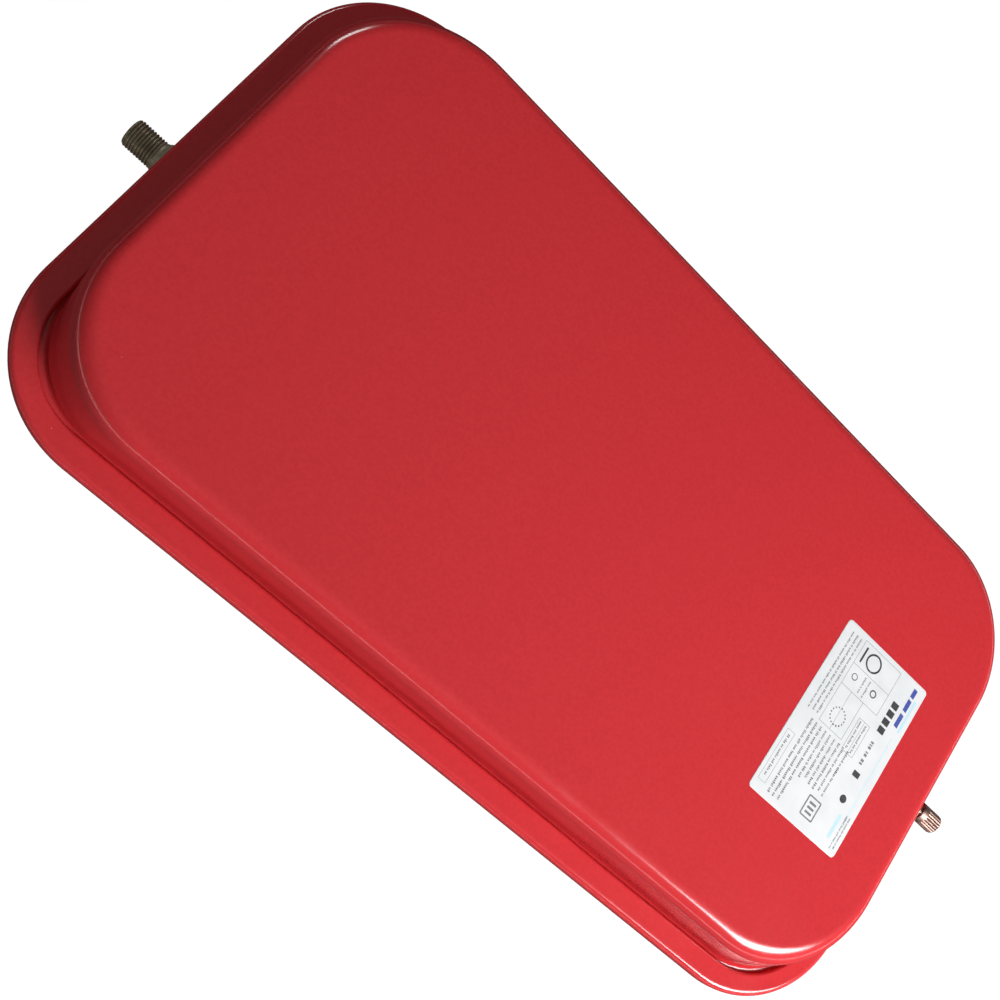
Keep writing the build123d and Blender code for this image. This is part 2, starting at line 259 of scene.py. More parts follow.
# ---------------------------------------------------------------- material helpers
class Nodes:
    """Short calls for building one node material."""

    def __init__(self, name):
        self.material = bpy.data.materials.new(name)
        self.material.use_nodes = True
        self.tree = self.material.node_tree
        self.tree.nodes.clear()
        self.shader = self.add("ShaderNodeBsdfPrincipled")
        output = self.add("ShaderNodeOutputMaterial")
        self.link(self.shader.outputs["BSDF"], output.inputs["Surface"])
        self.place = self.add("ShaderNodeTexCoord").outputs["Object"]

    def add(self, kind, **settings):
        node = self.tree.nodes.new(kind)
        for key, value in settings.items():
            setattr(node, key, value)
        return node

    def link(self, source, target):
        self.tree.links.new(source, target)

    def set(self, **values):
        """Constant values on the shader's own sockets."""
        for key, value in values.items():
            self.shader.inputs[key.replace("_", " ")].default_value = value

    def noise(self, scale, detail=3.0, roughness=0.5, stretch=None):
        place = self.place
        if stretch:
            mapping = self.add("ShaderNodeMapping")
            mapping.inputs["Scale"].default_value = stretch
            self.link(place, mapping.inputs["Vector"])
            place = mapping.outputs["Vector"]
        node = self.add("ShaderNodeTexNoise")
        node.inputs["Scale"].default_value = scale
        node.inputs["Detail"].default_value = detail
        node.inputs["Roughness"].default_value = roughness
        self.link(place, node.inputs["Vector"])
        return node.outputs["Fac"]

    def ramp(self, value, *stops):
        """A colour ramp. Stops are (position, (r, g, b))."""
        node = self.add("ShaderNodeValToRGB")
        elements = node.color_ramp.elements
        while len(elements) < len(stops):
            elements.new(0.5)
        for element, (position, colour) in zip(elements, stops):
            element.position = position
            element.color = (*colour, 1)
        self.link(value, node.inputs["Fac"])
        return node.outputs["Color"]

    def span(self, value, low, high, from_low=0.3, from_high=0.7):
        """A value mapped from one span to another."""
        node = self.add("ShaderNodeMapRange")
        for key, number in (
            ("From Min", from_low), ("From Max", from_high), ("To Min", low), ("To Max", high)
        ):
            node.inputs[key].default_value = number
        self.link(value, node.inputs["Value"])
        return node.outputs["Result"]

    def maths(self, operation, a, b):
        node = self.add("ShaderNodeMath", operation=operation)
        for socket, value in zip(node.inputs, (a, b)):
            if isinstance(value, (int, float)):
                socket.default_value = value
            else:
                self.link(value, socket)
        return node.outputs["Value"]

    def mix(self, factor, a, b):
        """Mix of two colours, each a socket or (r, g, b)."""
        node = self.add("ShaderNodeMix", data_type="RGBA")
        self.link(factor, node.inputs["Factor"])
        for key, value in ((6, a), (7, b)):
            if isinstance(value, tuple):
                node.inputs[key].default_value = (*value, 1)
            else:
                self.link(value, node.inputs[key])
        return node.outputs[2]

    def bump(self, height, depth, strength=1.0):
        """Bump from a height of 0 to 1, depth in millimetres."""
        node = self.add("ShaderNodeBump")
        node.inputs["Strength"].default_value = strength
        node.inputs["Distance"].default_value = depth * MM
        self.link(height, node.inputs["Height"])
        return node.outputs["Normal"]

    def radius(self, height):
        """Distance in millimetres from the X axis at a height."""
        parts = self.add("ShaderNodeSeparateXYZ")
        self.link(self.place, parts.inputs["Vector"])
        up = self.maths("SUBTRACT", parts.outputs["Z"], height * MM)
        across = self.maths("MULTIPLY", parts.outputs["Y"], parts.outputs["Y"])
        squares = self.maths("ADD", across, self.maths("MULTIPLY", up, up))
        return self.maths("MULTIPLY", self.maths("SQRT", squares, 0), 1 / MM)

    def finish(self, colour=None, roughness=None, normal=None):
        for key, value in (("Base Color", colour), ("Roughness", roughness), ("Normal", normal)):
            if value is not None:
                self.link(value, self.shader.inputs[key])
        return self.material


# ---------------------------------------------------------------- materials
def red_paint(name, bright, dull, peel=0.0, roughness=0.16):
    """Red coat: fine mottling, a few specks of dust under the gloss, and orange peel if it has any."""
    n = Nodes(name)
    mottle = n.ramp(n.noise(620, 4, 0.65), (0.36, dull), (0.64, bright))
    cloud = n.span(n.noise(9, 2), 0.0, 0.12, 0.35, 0.65)
    colour = n.mix(cloud, mottle, dull)
    cells = n.add("ShaderNodeTexVoronoi")
    cells.inputs["Scale"].default_value = 45
    n.link(n.place, cells.inputs["Vector"])
    speck = n.maths("LESS_THAN", cells.outputs["Distance"], 0.007)
    colour = n.mix(speck, colour, (0.75, 0.35, 0.32))
    gloss = n.span(n.noise(40, 3), roughness - 0.03, roughness + 0.05)
    n.set(IOR=1.5)
    return n.finish(colour, gloss, n.bump(n.noise(330, 2, 0.4), peel) if peel else None)


def turned_metal(name, height, bright, dark, root, crest, roughness, blotch=0.0, metallic=1.0):
    """Turned metal: painted shade that darkens it towards the roots, fine rings of tool marks, uneven
    plating.
    """
    n = Nodes(name)
    # painted shade: the colour runs from the dark tone at the root radius to the bright tone at the crest
    # radius
    depth = n.span(n.radius(height), 0.0, 1.0, root, crest)
    stain = n.span(n.noise(420, 4, 0.6), 0.0, blotch, 0.4, 0.65)
    colour = n.mix(depth, dark, bright)
    colour = n.mix(stain, colour, dark)
    rings = n.noise(60, 2, 0.5, (160, 1, 1))
    rough = n.span(n.noise(300, 3), roughness - 0.05, roughness + 0.1)
    n.set(Metallic=metallic)
    return n.finish(colour, rough, n.bump(rings, 0.01, 0.6))


def plain_metal(name, colour, tint, roughness):
    """Small turned or drawn metal with faint tool marks."""
    n = Nodes(name)
    marks = n.noise(80, 2, 0.5, (120, 1, 1))
    shade_of = n.ramp(n.noise(900, 3), (0.35, tint), (0.65, colour))
    n.set(Metallic=1.0)
    return n.finish(shade_of, n.span(marks, roughness - 0.05, roughness + 0.08), n.bump(marks, 0.006, 0.6))


def moulded_rubber(name, colour, bloom):
    """Matt rubber with a fine grain and a pale bloom."""
    n = Nodes(name)
    grain = n.noise(1500, 4, 0.6)
    shade_of = n.mix(n.span(n.noise(60, 3), 0.0, 0.5), colour, bloom)
    n.set(IOR=1.5)
    return n.finish(shade_of, n.span(grain, 0.55, 0.75), n.bump(grain, 0.02, 0.8))


def label_film(name):
    """White coated film with a faint paper tooth."""
    n = Nodes(name)
    tooth_of = n.noise(2200, 3, 0.6)
    colour = n.ramp(n.noise(90, 3), (0.35, (0.665, 0.68, 0.695)), (0.65, (0.72, 0.73, 0.735)))
    return n.finish(colour, n.span(tooth_of, 0.38, 0.5), n.bump(tooth_of, 0.004, 0.6))


def ink(name, colour):
    """Printed ink, thin enough for the film to show through a little."""
    n = Nodes(name)
    paler = tuple(min(1.0, c + 0.05) for c in colour)
    coverage = n.ramp(n.noise(1800, 3, 0.6), (0.38, paler), (0.6, colour))
    return n.finish(coverage, n.span(n.noise(700, 2), 0.35, 0.5))


PAINT = red_paint("red_paint", (0.56, 0.029, 0.034), (0.51, 0.024, 0.030))
WELD_PAINT = red_paint("red_paint_on_weld", (0.52, 0.020, 0.028), (0.40, 0.016, 0.022), 0.02, 0.22)
# painted shade darkens the stub's thread roots, from radius 6.5 down to 5.6
STUB_METAL = turned_metal(
    "darkened_zinc", STUB_HEIGHT, (0.46, 0.40, 0.27), (0.17, 0.15, 0.10), 5.6, 6.5, 0.42, 0.6, 0.6
)
# painted reflection: the pink-brown tones stand in for the red shells mirrored in the nickel cap; the darker
# tone in the rib grooves, below radius 4.75, is painted shade
CAP_METAL = turned_metal(
    "nickel_with_painted_red_reflection", VALVE_HEIGHT, (0.34, 0.225, 0.19), (0.09, 0.04, 0.03), 4.35, 4.75, 0.46, 0.3
)
# painted shade darkens the stem's thread roots, from radius 3.85 down to 3.4
STEM_METAL = turned_metal(
    "satin_nickel", VALVE_HEIGHT, (0.66, 0.63, 0.57), (0.22, 0.20, 0.17), 3.4, 3.85, 0.24, 0.3
)
BRASS = plain_metal("turned_brass", (0.76, 0.56, 0.25), (0.62, 0.43, 0.17), 0.24)
STEEL = plain_metal("drawn_steel", (0.62, 0.61, 0.59), (0.45, 0.44, 0.43), 0.22)
DIAPHRAGM_RUBBER = moulded_rubber("diaphragm_rubber", (0.022, 0.022, 0.024), (0.055, 0.055, 0.055))
SEAL_RUBBER = moulded_rubber("seal_rubber", (0.018, 0.018, 0.018), (0.04, 0.04, 0.042))
FILM = label_film("label_film")
INKS = [
    ink("ink_black", (0.02, 0.02, 0.022)),
    ink("ink_grey", (0.15, 0.155, 0.17)),
    ink("ink_blue", (0.035, 0.06, 0.32)),
    ink("ink_pale_blue", (0.45, 0.66, 0.74)),
]
BLACK, GREY, BLUE, PALE = range(4)


# ---------------------------------------------------------------- pressed shells
def wall_inset(z):
    """Outside of the drawn walls at a height, as an inset from the rim."""
    if z > FRONT_SEAM:
        return WALL_INSET + (z - FRONT_SEAM) * SLOPE
    return WALL_INSET + (REAR_SEAM - z) * SLOPE


def front_pan_side(thickness):
    """Front shell from its face down to the turn into the wall, thickness in from the outside."""
    level = FACE - thickness
    radius = FRONT_EDGE - thickness
    turn = level - radius
    centre = wall_inset(turn) + thickness + radius / math.cos(DRAFT)
    points = [(inset, level) for inset in (FACE_INSET, 56, 42, 32, 26, centre + 1.2)]
    return points + arc(centre, turn, radius, 90, math.degrees(DRAFT), 12), turn


def flip(points):
    """Points of a section turned upside down."""
    return [(inset, -z) for inset, z in points]


def front_section():
    """Section of the front shell, from the middle of its face out to the flange and back inside."""
    outer, turn = front_pan_side(0)
    heights = [turn - 0.8, turn - 6, (turn + LIP_BOTTOM) / 2, LIP_BOTTOM + FOOT + 5, LIP_BOTTOM + FOOT + 0.6]
    outer += [(wall_inset(z), z) for z in heights]
    foot_height = LIP_BOTTOM + FOOT
    outer += arc(wall_inset(foot_height) - FOOT, foot_height, FOOT, 180, 270, 6)
    flange = [(4.0, LIP_BOTTOM), (1.9, LIP_BOTTOM), (1.7, LIP_BOTTOM - 0.2)]
    flange += [(1.7, FRONT_SEAM + 0.2), (1.9, FRONT_SEAM), (4.0, FRONT_SEAM)]
    bend_height = FRONT_SEAM + BEND
    inner = arc(wall_inset(bend_height) + SHEET - BEND, bend_height, BEND, 270, 180, 8)
    heights = [bend_height + 0.6, (turn + LIP_BOTTOM) / 2, turn - 0.8]
    inner += [(wall_inset(z) + SHEET, z) for z in heights]
    back, _ = front_pan_side(SHEET)
    return on_wall(outer) + on_rim(flange) + on_wall(inner + back[::-1])


def rear_section():
    """Section of the rear shell: face, wall, flange, rolled rim and lip, and back inside."""
    radius = REAR_EDGE
    tilt = math.degrees(DRAFT)
    centre = wall_inset(radius) + radius / math.cos(DRAFT)
    outer = [(inset, 0.0) for inset in (FACE_INSET, 56, 42, 33, 27, centre + 1.2)]
    outer += flip(arc(centre, -radius, radius, 90, tilt, 12))
    foot_height = RIM_BOTTOM - FOOT
    outer += [(wall_inset(z), z) for z in (radius + 0.9, 22, 38, foot_height - 5, foot_height - 0.6)]
    outer += flip(arc(wall_inset(foot_height) - FOOT, -foot_height, FOOT, 180, 270, 6))
    bottom = flip(arc(RIM_BOTTOM_EDGE, -(RIM_BOTTOM + RIM_BOTTOM_EDGE), RIM_BOTTOM_EDGE, 90, 0, 6))
    top = arc(RIM_TOP_EDGE, RIM_TOP - RIM_TOP_EDGE, RIM_TOP_EDGE, 0, 90, 10)
    nose_radius = LIP_THICKNESS / 2
    nose = arc(LIP_WIDTH - nose_radius, RIM_TOP - nose_radius, nose_radius, 90, 270, 12)
    rim = [(5.0, RIM_BOTTOM), (2.6, RIM_BOTTOM)] + bottom + [(0.0, (RIM_BOTTOM + RIM_TOP) / 2)] + top
    rim += [(3.6, RIM_TOP), (6.0, RIM_TOP), (8.5, RIM_TOP), (10.1, RIM_TOP)] + nose
    rim += [(10.0, LIP_BOTTOM), (4.0, LIP_BOTTOM), (1.5, LIP_BOTTOM), (1.3, LIP_BOTTOM - 0.2)]
    rim += [(1.3, REAR_SEAM + 0.2), (1.5, REAR_SEAM), (4.0, REAR_SEAM)]
    bend_height = REAR_SEAM - BEND
    inner = flip(arc(wall_inset(bend_height) + SHEET - BEND, -bend_height, BEND, 270, 180, 8))
    inner += [(wall_inset(z) + SHEET, z) for z in (bend_height - 0.6, 38, 22, radius + 0.9)]
    inside = radius - SHEET
    inner_centre = wall_inset(radius) + SHEET + inside / math.cos(DRAFT)
    inner += flip(arc(inner_centre, -radius, inside, tilt, 90, 12))
    inner += [(inset, SHEET) for inset in (inner_centre + 1.2, 27, 33, 42, 56, FACE_INSET)]
    return on_wall(outer) + on_rim(rim[:2]) + on_lip(rim[2:]) + on_wall(inner)


def rolled_unevenness(point, inset, z):
    """The rolled lip isn't quite even: its inner edge wanders and its top rises and falls slightly."""
    x, y, _ = point
    if z < LIP_BOTTOM - 0.1:
        return point
    along = math.atan2(y / HALF_Y, x / HALF_X)
    wave = 0.5 * math.sin(11 * along + 0.4) + 0.3 * math.sin(23 * along + 1.9)
    wave += 0.2 * math.sin(41 * along + 4.0)
    pull = 0.22 * wave * between(inset, 5.0, LIP_WIDTH)
    sink = 0.10 * (1 + math.sin(17 * along + 2.2)) / 2 * between(inset, 2.0, 7.0)
    top = between(z, LIP_BOTTOM + 0.4, RIM_TOP)
    length = math.hypot(x, y)
    return (x + pull * x / length, y + pull * y / length, z - sink * top)


def make_shells():
    reach = 6  # of the cutting bodies on both sides of a wall
    front = swept("front_shell_pressing", front_section())
    cut_hole(front, VALVE_WALL - reach, VALVE_WALL + reach, VALVE_HEIGHT, VALVE_HOLE)
    rear = swept("rear_shell_pressing", rear_section(), rolled_unevenness)
    cut_hole(rear, -STUB_WALL - reach, -STUB_WALL + reach, STUB_HEIGHT, STUB_HOLE)
    for piece, node in ((front, "front_shell"), (rear, "rear_shell")):
        piece.data.materials.clear()
        piece.data.materials.append(PAINT)
        settle(piece, "root", "shell_paint", node)


def settle(piece, body, slot, *nodes):
    """A piece rides on its body and stands for its CAD nodes, which are hidden. The slot is not used."""
    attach(piece, body)
    if nodes:
        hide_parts(*nodes)


# ---------------------------------------------------------------- welds
def make_weld(name, node, wall, direction, height, collar, leg, foot, ripples):
    """Fillet weld: a swelling bead with the ripples of its passes. Its back lies inside the sheet."""
    profile = []
    for step in range(11):
        angle = math.radians(90 * step / 10)
        bulge = 1 + 0.10 * math.sin(2 * angle)
        x = wall + direction * leg * math.sin(angle) * bulge
        profile.append((x, collar + foot * math.cos(angle) * bulge))
    back = wall - direction * 0.7
    profile += [(wall + direction * leg, collar - 0.3), (back, collar - 0.3), (back, collar + foot)]

    def ripple(x, angle, radius):
        depth = direction * (x - wall) / leg
        if depth < 0.05 or radius < collar:
            return radius
        wave = abs(math.sin(ripples / 2 * (angle + 0.12 * depth))) ** 0.6
        return radius + 0.22 * (wave - 0.6) * math.sin(math.pi * min(depth, 0.95))

    piece = lathed(name, profile, height, 180, ripple)
    piece.data.materials.append(WELD_PAINT)
    settle(piece, "root", "weld_paint", node)


# ---------------------------------------------------------------- water stub
def rows_between(start, end, spacing):
    """Evenly spaced places from start to end, both included."""
    count = max(1, math.ceil(abs(end - start) / spacing))
    return [start + (end - start) * step / count for step in range(count + 1)]


def make_stub():
    """Nipple with a helical G 1/4 thread that runs out towards the neck."""
    crest, depth, pitch = STUB_THREAD
    tip = -stub_low.x
    thread_start, collar_end = 226.4, 224.2
    bore, collar = STUB_BORE, STUB_COLLAR
    inner, back = STUB_WALL - SHEET - 0.2, STUB_WALL - 0.4
    profile = [(-inner, bore + 0.3), (-inner, STUB_SPIGOT), (-back, STUB_SPIGOT), (-back, collar)]
    profile += [(-x, collar) for x in rows_between(STUB_WALL + 3, collar_end - 0.5, 3)]
    chamfer = rows_between(collar_end - 0.3, collar_end + 1.6, 0.3)
    profile += [(-x, collar - (x - collar_end + 0.5) * 0.8) for x in chamfer]
    profile += [(-x, crest) for x in rows_between(thread_start, tip - 1.8, pitch / 14)]
    for step in range(1, 11):
        angle = math.radians(90 * step / 10)
        profile.append((-tip + 1.8 * (1 - math.sin(angle)), crest - 1.5 * (1 - math.cos(angle))))
    profile += [(-tip, bore + 0.5), (-tip + 0.15, bore + 0.3), (-tip + 0.5, bore)]
    profile += [(-x, bore) for x in rows_between(tip - 3, inner + 0.3, 6)]

    def thread(x, angle, radius):
        along = -x
        if along < thread_start - 0.05 or radius < crest - 1.45:
            return radius
        form = tooth(x / pitch - angle / (2 * math.pi), 0.22, 0.22)
        fade = between(along, thread_start - 0.1, thread_start + 1.6)
        return min(radius, crest - depth * (1 - form) * fade)

    piece = lathed("water_stub_threaded", profile, STUB_HEIGHT, 112, thread, 50)
    piece.data.materials.append(STUB_METAL)
    settle(piece, "root", "stub_steel", "water_stub")


# ---------------------------------------------------------------- gas valve
def make_stem():
    """Valve stem with a helical 8V1 thread and the mouth that the core screws into."""
    crest, depth, pitch = STEM_THREAD
    tip, inner = stem_high.x, stem_low.x
    collar_end, thread_start = VALVE_WALL + 2.6, VALVE_WALL + 4.6
    back = VALVE_WALL - 0.4
    profile = [(inner, 1.98), (inner, 4.6), (inner + 0.3, STEM_SPIGOT), (back, STEM_SPIGOT)]
    profile += [(back, STEM_COLLAR), (collar_end - 0.4, STEM_COLLAR), (collar_end - 0.12, 6.08)]
    profile += [(collar_end, 5.8), (collar_end, 4.2)]
    profile += [(collar_end + 0.2, 3.95), (collar_end + 0.5, crest)]
    profile += [(x, crest) for x in rows_between(collar_end + 0.8, tip - 0.45, pitch / 12)]
    profile += [(tip - 0.3, crest - 0.12), (tip - 0.1, crest - 0.32), (tip, crest - 0.5)]
    profile += [(tip, 3.0), (tip - 0.3, 2.72)]
    profile += [(x, 2.66) for x in rows_between(tip - 0.5, tip - 5.2, 0.4)]
    profile += [(tip - 5.3, 2.32), (tip - 6.9, 1.98)]

    def thread(x, angle, radius):
        if radius < crest - 0.35 or x < collar_end + 0.6:
            return radius
        form = tooth(x / pitch - angle / (2 * math.pi), 0.2, 0.2)
        fade = between(x, thread_start - 1.2, thread_start)
        return min(radius, crest - depth * (1 - form) * fade)

    piece = lathed("valve_stem_threaded", profile, VALVE_HEIGHT, 84, thread, 50)
    piece.data.materials.append(STEM_METAL)
    settle(piece, "root", "valve_nickel", "valve_stem")


def make_cap():
    """Knurled cap: smooth skirt, rounded ribs that die out towards both ends, domed end."""
    outer, ribs = CAP_RADIUS, CAP_RIBS
    start, tip = cap_low.x, cap_high.x
    grip = tip - GRIP_LENGTH
    inside, pitch = 3.9, STEM_THREAD[2]
    floor_of = tip - 1.6
    profile = [(start, inside + 0.35), (start, outer - 0.25)]
    profile += [(start + 0.08, outer - 0.08), (start + 0.25, outer)]
    profile += [(x, outer) for x in rows_between(start + 1.2, grip - 0.5, 1.2)]
    profile += [(x, outer) for x in rows_between(grip - 0.3, tip - 1.1, 0.3)]
    for step in range(1, 9):
        angle = math.radians(90 * step / 8)
        profile.append((tip - 0.9 + 0.9 * math.sin(angle), outer - 1.3 + 1.3 * math.cos(angle)))
    profile += [(tip, 2.2), (tip - 0.04, 1.0), (tip - 0.05, 0.02), (floor_of, 0.02), (floor_of, inside - 0.1)]
    profile += [(x, inside) for x in rows_between(floor_of - 0.2, start + 0.4, pitch / 10)]

    def relief(x, angle, radius):
        if radius > outer - 1.4:
            wave = (1 + math.cos(ribs * angle)) / 2
            groove = 0.42 * (1 - wave ** 0.55)
            shape = between(x, grip - 0.2, grip + 0.7) * (1 - between(x, tip - 0.55, tip - 0.02))
            return radius - groove * shape
        if abs(radius - inside) < 0.02 and x > start + 0.5:
            form = tooth(x / pitch - angle / (2 * math.pi) + 0.5, 0.2, 0.3)
            ends = between(x, start + 0.5, start + 1.4) * (1 - between(x, floor_of - 1.4, floor_of - 0.6))
            return radius + 0.32 * form * ends
        return radius

    piece = lathed("valve_cap_knurled", profile, VALVE_HEIGHT, ribs * 12, relief, 50)
    piece.data.materials.append(CAP_METAL)
    settle(piece, "valve_cap", "cap_nickel", "valve_cap")


def make_spring():
    """Coil spring of the valve core, with its end coils closed."""
    wire, mean, coils, around, steps = 0.14, 0.86, 6.0, 10, 200
    start, end = spring_low.x + wire * 0.4, spring_high.x - wire * 0.4
    vertices = []
    for step in range(steps + 1):
        share = step / steps
        rise = share - 0.10 * math.sin(2 * math.pi * share) / (2 * math.pi) * 3
        angle = 2 * math.pi * coils * share
        outward = Vector((0, math.cos(angle), math.sin(angle)))
        centre = Vector((start + (end - start) * rise, 0, VALVE_HEIGHT)) + mean * outward
        for turn in range(around):
            sweep = 2 * math.pi * turn / around
            vertices.append(centre + wire * (math.cos(sweep) * outward + math.sin(sweep) * Vector((1, 0, 0))))
    faces = strip_faces(steps + 1, around, False)
    faces += [tuple(range(around)), tuple(range(steps * around, (steps + 1) * around))]
    piece = make_object("core_spring_coil", vertices, faces)
    piece.data.materials.append(STEEL)
    settle(piece, "root", "spring_steel", "core_spring")
    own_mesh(piece)


# ---------------------------------------------------------------- diaphragm
def make_diaphragm():
    """Rubber pan with a thick rounded edge and shallow rolling ribs round its wall."""
    thickness, inset, edge = 2.0, WALL_INSET + SHEET + 2.5, 22.0
    top, bottom = membrane_high.z, membrane_low.z
    bead_bottom = REAR_SEAM + 0.05

    def wall(z):
        ribs = 0.35 * math.sin((z - bead_bottom) * 0.9) * between(z, 28, 34) * (1 - between(z, 50, 54))
        return inset + (bead_bottom - z) * SLOPE + ribs

    heights = [54, 52, 50.5, 49, 47.5, 46, 44.5, 43, 41.5, 40, 38.5, 37, 35.5, 34, 32.5, 31, 29, 27]
    centre = wall(bottom + edge) + edge
    outside = [(wall(z), z) for z in heights]
    outside += [(i, -z) for i, z in arc(centre, -(bottom + edge), edge, 0, 90, 12)]
    outside += [(FACE_INSET, bottom)]
    inside = [(wall(z) + thickness, z) for z in heights]
    inside += [(i, -z) for i, z in arc(centre, -(bottom + edge), edge - thickness, 0, 90, 12)]
    inside += [(FACE_INSET, bottom + thickness)]
    bead = [(inset - 1.5, bead_bottom), (4.0, bead_bottom), (2.2, bead_bottom), (1.7, bead_bottom + 0.6)]
    bead += [(1.7, top - 0.6), (2.2, top), (4.0, top), (inset, top)]
    section = on_wall(outside[::-1]) + on_rim(bead[:-1])
    section += on_wall([bead[-1], (inset + thickness - 0.4, top - 0.3)] + inside)
    piece = swept("diaphragm_pan", section)
    piece.data.materials.append(DIAPHRAGM_RUBBER)
    settle(piece, "root", "diaphragm_rubber", "diaphragm")
    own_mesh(piece)


# ---------------------------------------------------------------- label
PRINT_THICK = 0.012  # ink above the film


def prism(vertices, faces, owners, corners, low, high, owner):
    """Adds a flat-topped closed block over a polygon."""
    first, count = len(vertices), len(corners)
    vertices += [(x, y, low) for x, y in corners] + [(x, y, high) for x, y in corners]
    faces.append(tuple(range(first + count - 1, first - 1, -1)))
    faces.append(tuple(range(first + count, first + 2 * count)))
    for k in range(count):
        after = (k + 1) % count
        faces.append((first + k, first + after, first + count + after, first + count + k))
    owners += [owner] * (count + 2)


def make_label():
    """White film with rounded corners and softly rounded edges."""
    half_x = (label_high.x - label_low.x) / 2
    half_y = (label_high.y - label_low.y) / 2
    middle = ((label_low.x + label_high.x) / 2, (label_low.y + label_high.y) / 2)
    corner, steps = 2.0, 10

    def ring(pull, z):
        points = []
        for quarter in range(4):
            for step in range(steps + 1):
                angle = math.radians(90 * (quarter + step / steps))
                side_x = 1 if quarter in (0, 3) else -1
                side_y = 1 if quarter in (0, 1) else -1
                r = corner - pull
                points.append((
                    middle[0] + side_x * (half_x - corner) + r * math.cos(angle),
                    middle[1] + side_y * (half_y - corner) + r * math.sin(angle),
                    z,
                ))
        return points

    top = label_high.z - PRINT_THICK
    levels = [(0, label_low.z), (0, top - 0.05), (0.02, top - 0.015), (0.06, top), (0.5, top)]
    rings = [ring(pull, z) for pull, z in levels]
    columns = len(rings[0])
    vertices = [point for points in rings for point in points]
    faces = strip_faces(len(rings), columns, False)
    faces.append(tuple(range(columns)))
    faces.append(tuple(range((len(rings) - 1) * columns, len(rings) * columns)))
    film = make_object("label_sticker", vertices, faces)
    film.data.materials.append(FILM)
    settle(film, "root", "label_film", "rating_label")


class Print:
    """Ink on the label. u runs along the reading direction, v up the label, both in millimetres."""

    def __init__(self):
        self.vertices, self.faces, self.owners = [], [], []
        self.random = random.Random(8)

    def place(self, u, v):
        return (label_low.x + v, label_high.y - u)

    def polygon(self, points, colour):
        corners = [self.place(u, v) for u, v in points]
        base = label_high.z - PRINT_THICK - 0.004
        prism(self.vertices, self.faces, self.owners, corners, base, label_high.z, colour)

    def bar(self, u, v, width, height, colour, lean=0.0):
        self.polygon(
            [(u, v), (u + width, v), (u + width + lean, v + height), (u + lean, v + height)], colour
        )

    def line(self, u0, v0, u1, v1, width, colour):
        length = math.hypot(u1 - u0, v1 - v0)
        du, dv = -(v1 - v0) / length * width / 2, (u1 - u0) / length * width / 2
        self.polygon([(u0 - du, v0 - dv), (u1 - du, v1 - dv), (u1 + du, v1 + dv), (u0 + du, v0 + dv)], colour)

    def disc(self, u, v, radius, colour):
        count = 32
        angles = [2 * math.pi * k / count for k in range(count)]
        self.polygon([(u + radius * math.cos(a), v + radius * math.sin(a)) for a in angles], colour)

    def ring(self, u, v, radius, width, colour, count=28):
        for k in range(count):
            a0, a1 = (2 * math.pi * (k + d) / count for d in (0, 1))
            inner = radius - width
            self.polygon(
                [
                    (u + radius * math.cos(a0), v + radius * math.sin(a0)),
                    (u + radius * math.cos(a1), v + radius * math.sin(a1)),
                    (u + inner * math.cos(a1), v + inner * math.sin(a1)),
                    (u + inner * math.cos(a0), v + inner * math.sin(a0)),
                ],
                colour,
            )

    def frame(self, u0, v0, u1, v1, width, colour):
        for a, b in (((u0, v0), (u1, v0)), ((u1, v0), (u1, v1)), ((u1, v1), (u0, v1)), ((u0, v1), (u0, v0))):
            self.line(*a, *b, width, colour)

    def words(self, u0, u1, v, size, colour, gap=0.45):
        """A line of small upright strokes in word-like groups, with no letters in it."""
        u = u0
        while u < u1 - size:
            for _ in range(self.random.randint(2, 7)):
                if u > u1 - size * 0.5:
                    break
                stroke = size * self.random.choice((0.28, 0.4, 0.52))
                tall = size * self.random.choice((0.72, 0.72, 1.0))
                self.bar(u, v, stroke, tall, colour)
                u += stroke + size * 0.22
            u += size * gap

    def finish(self):
        piece = make_object("label_printing", self.vertices, self.faces, 20)
        for material in INKS:
            piece.data.materials.append(material)
        piece.data.polygons.foreach_set("material_index", self.owners)
        settle(piece, "root", "label_film")


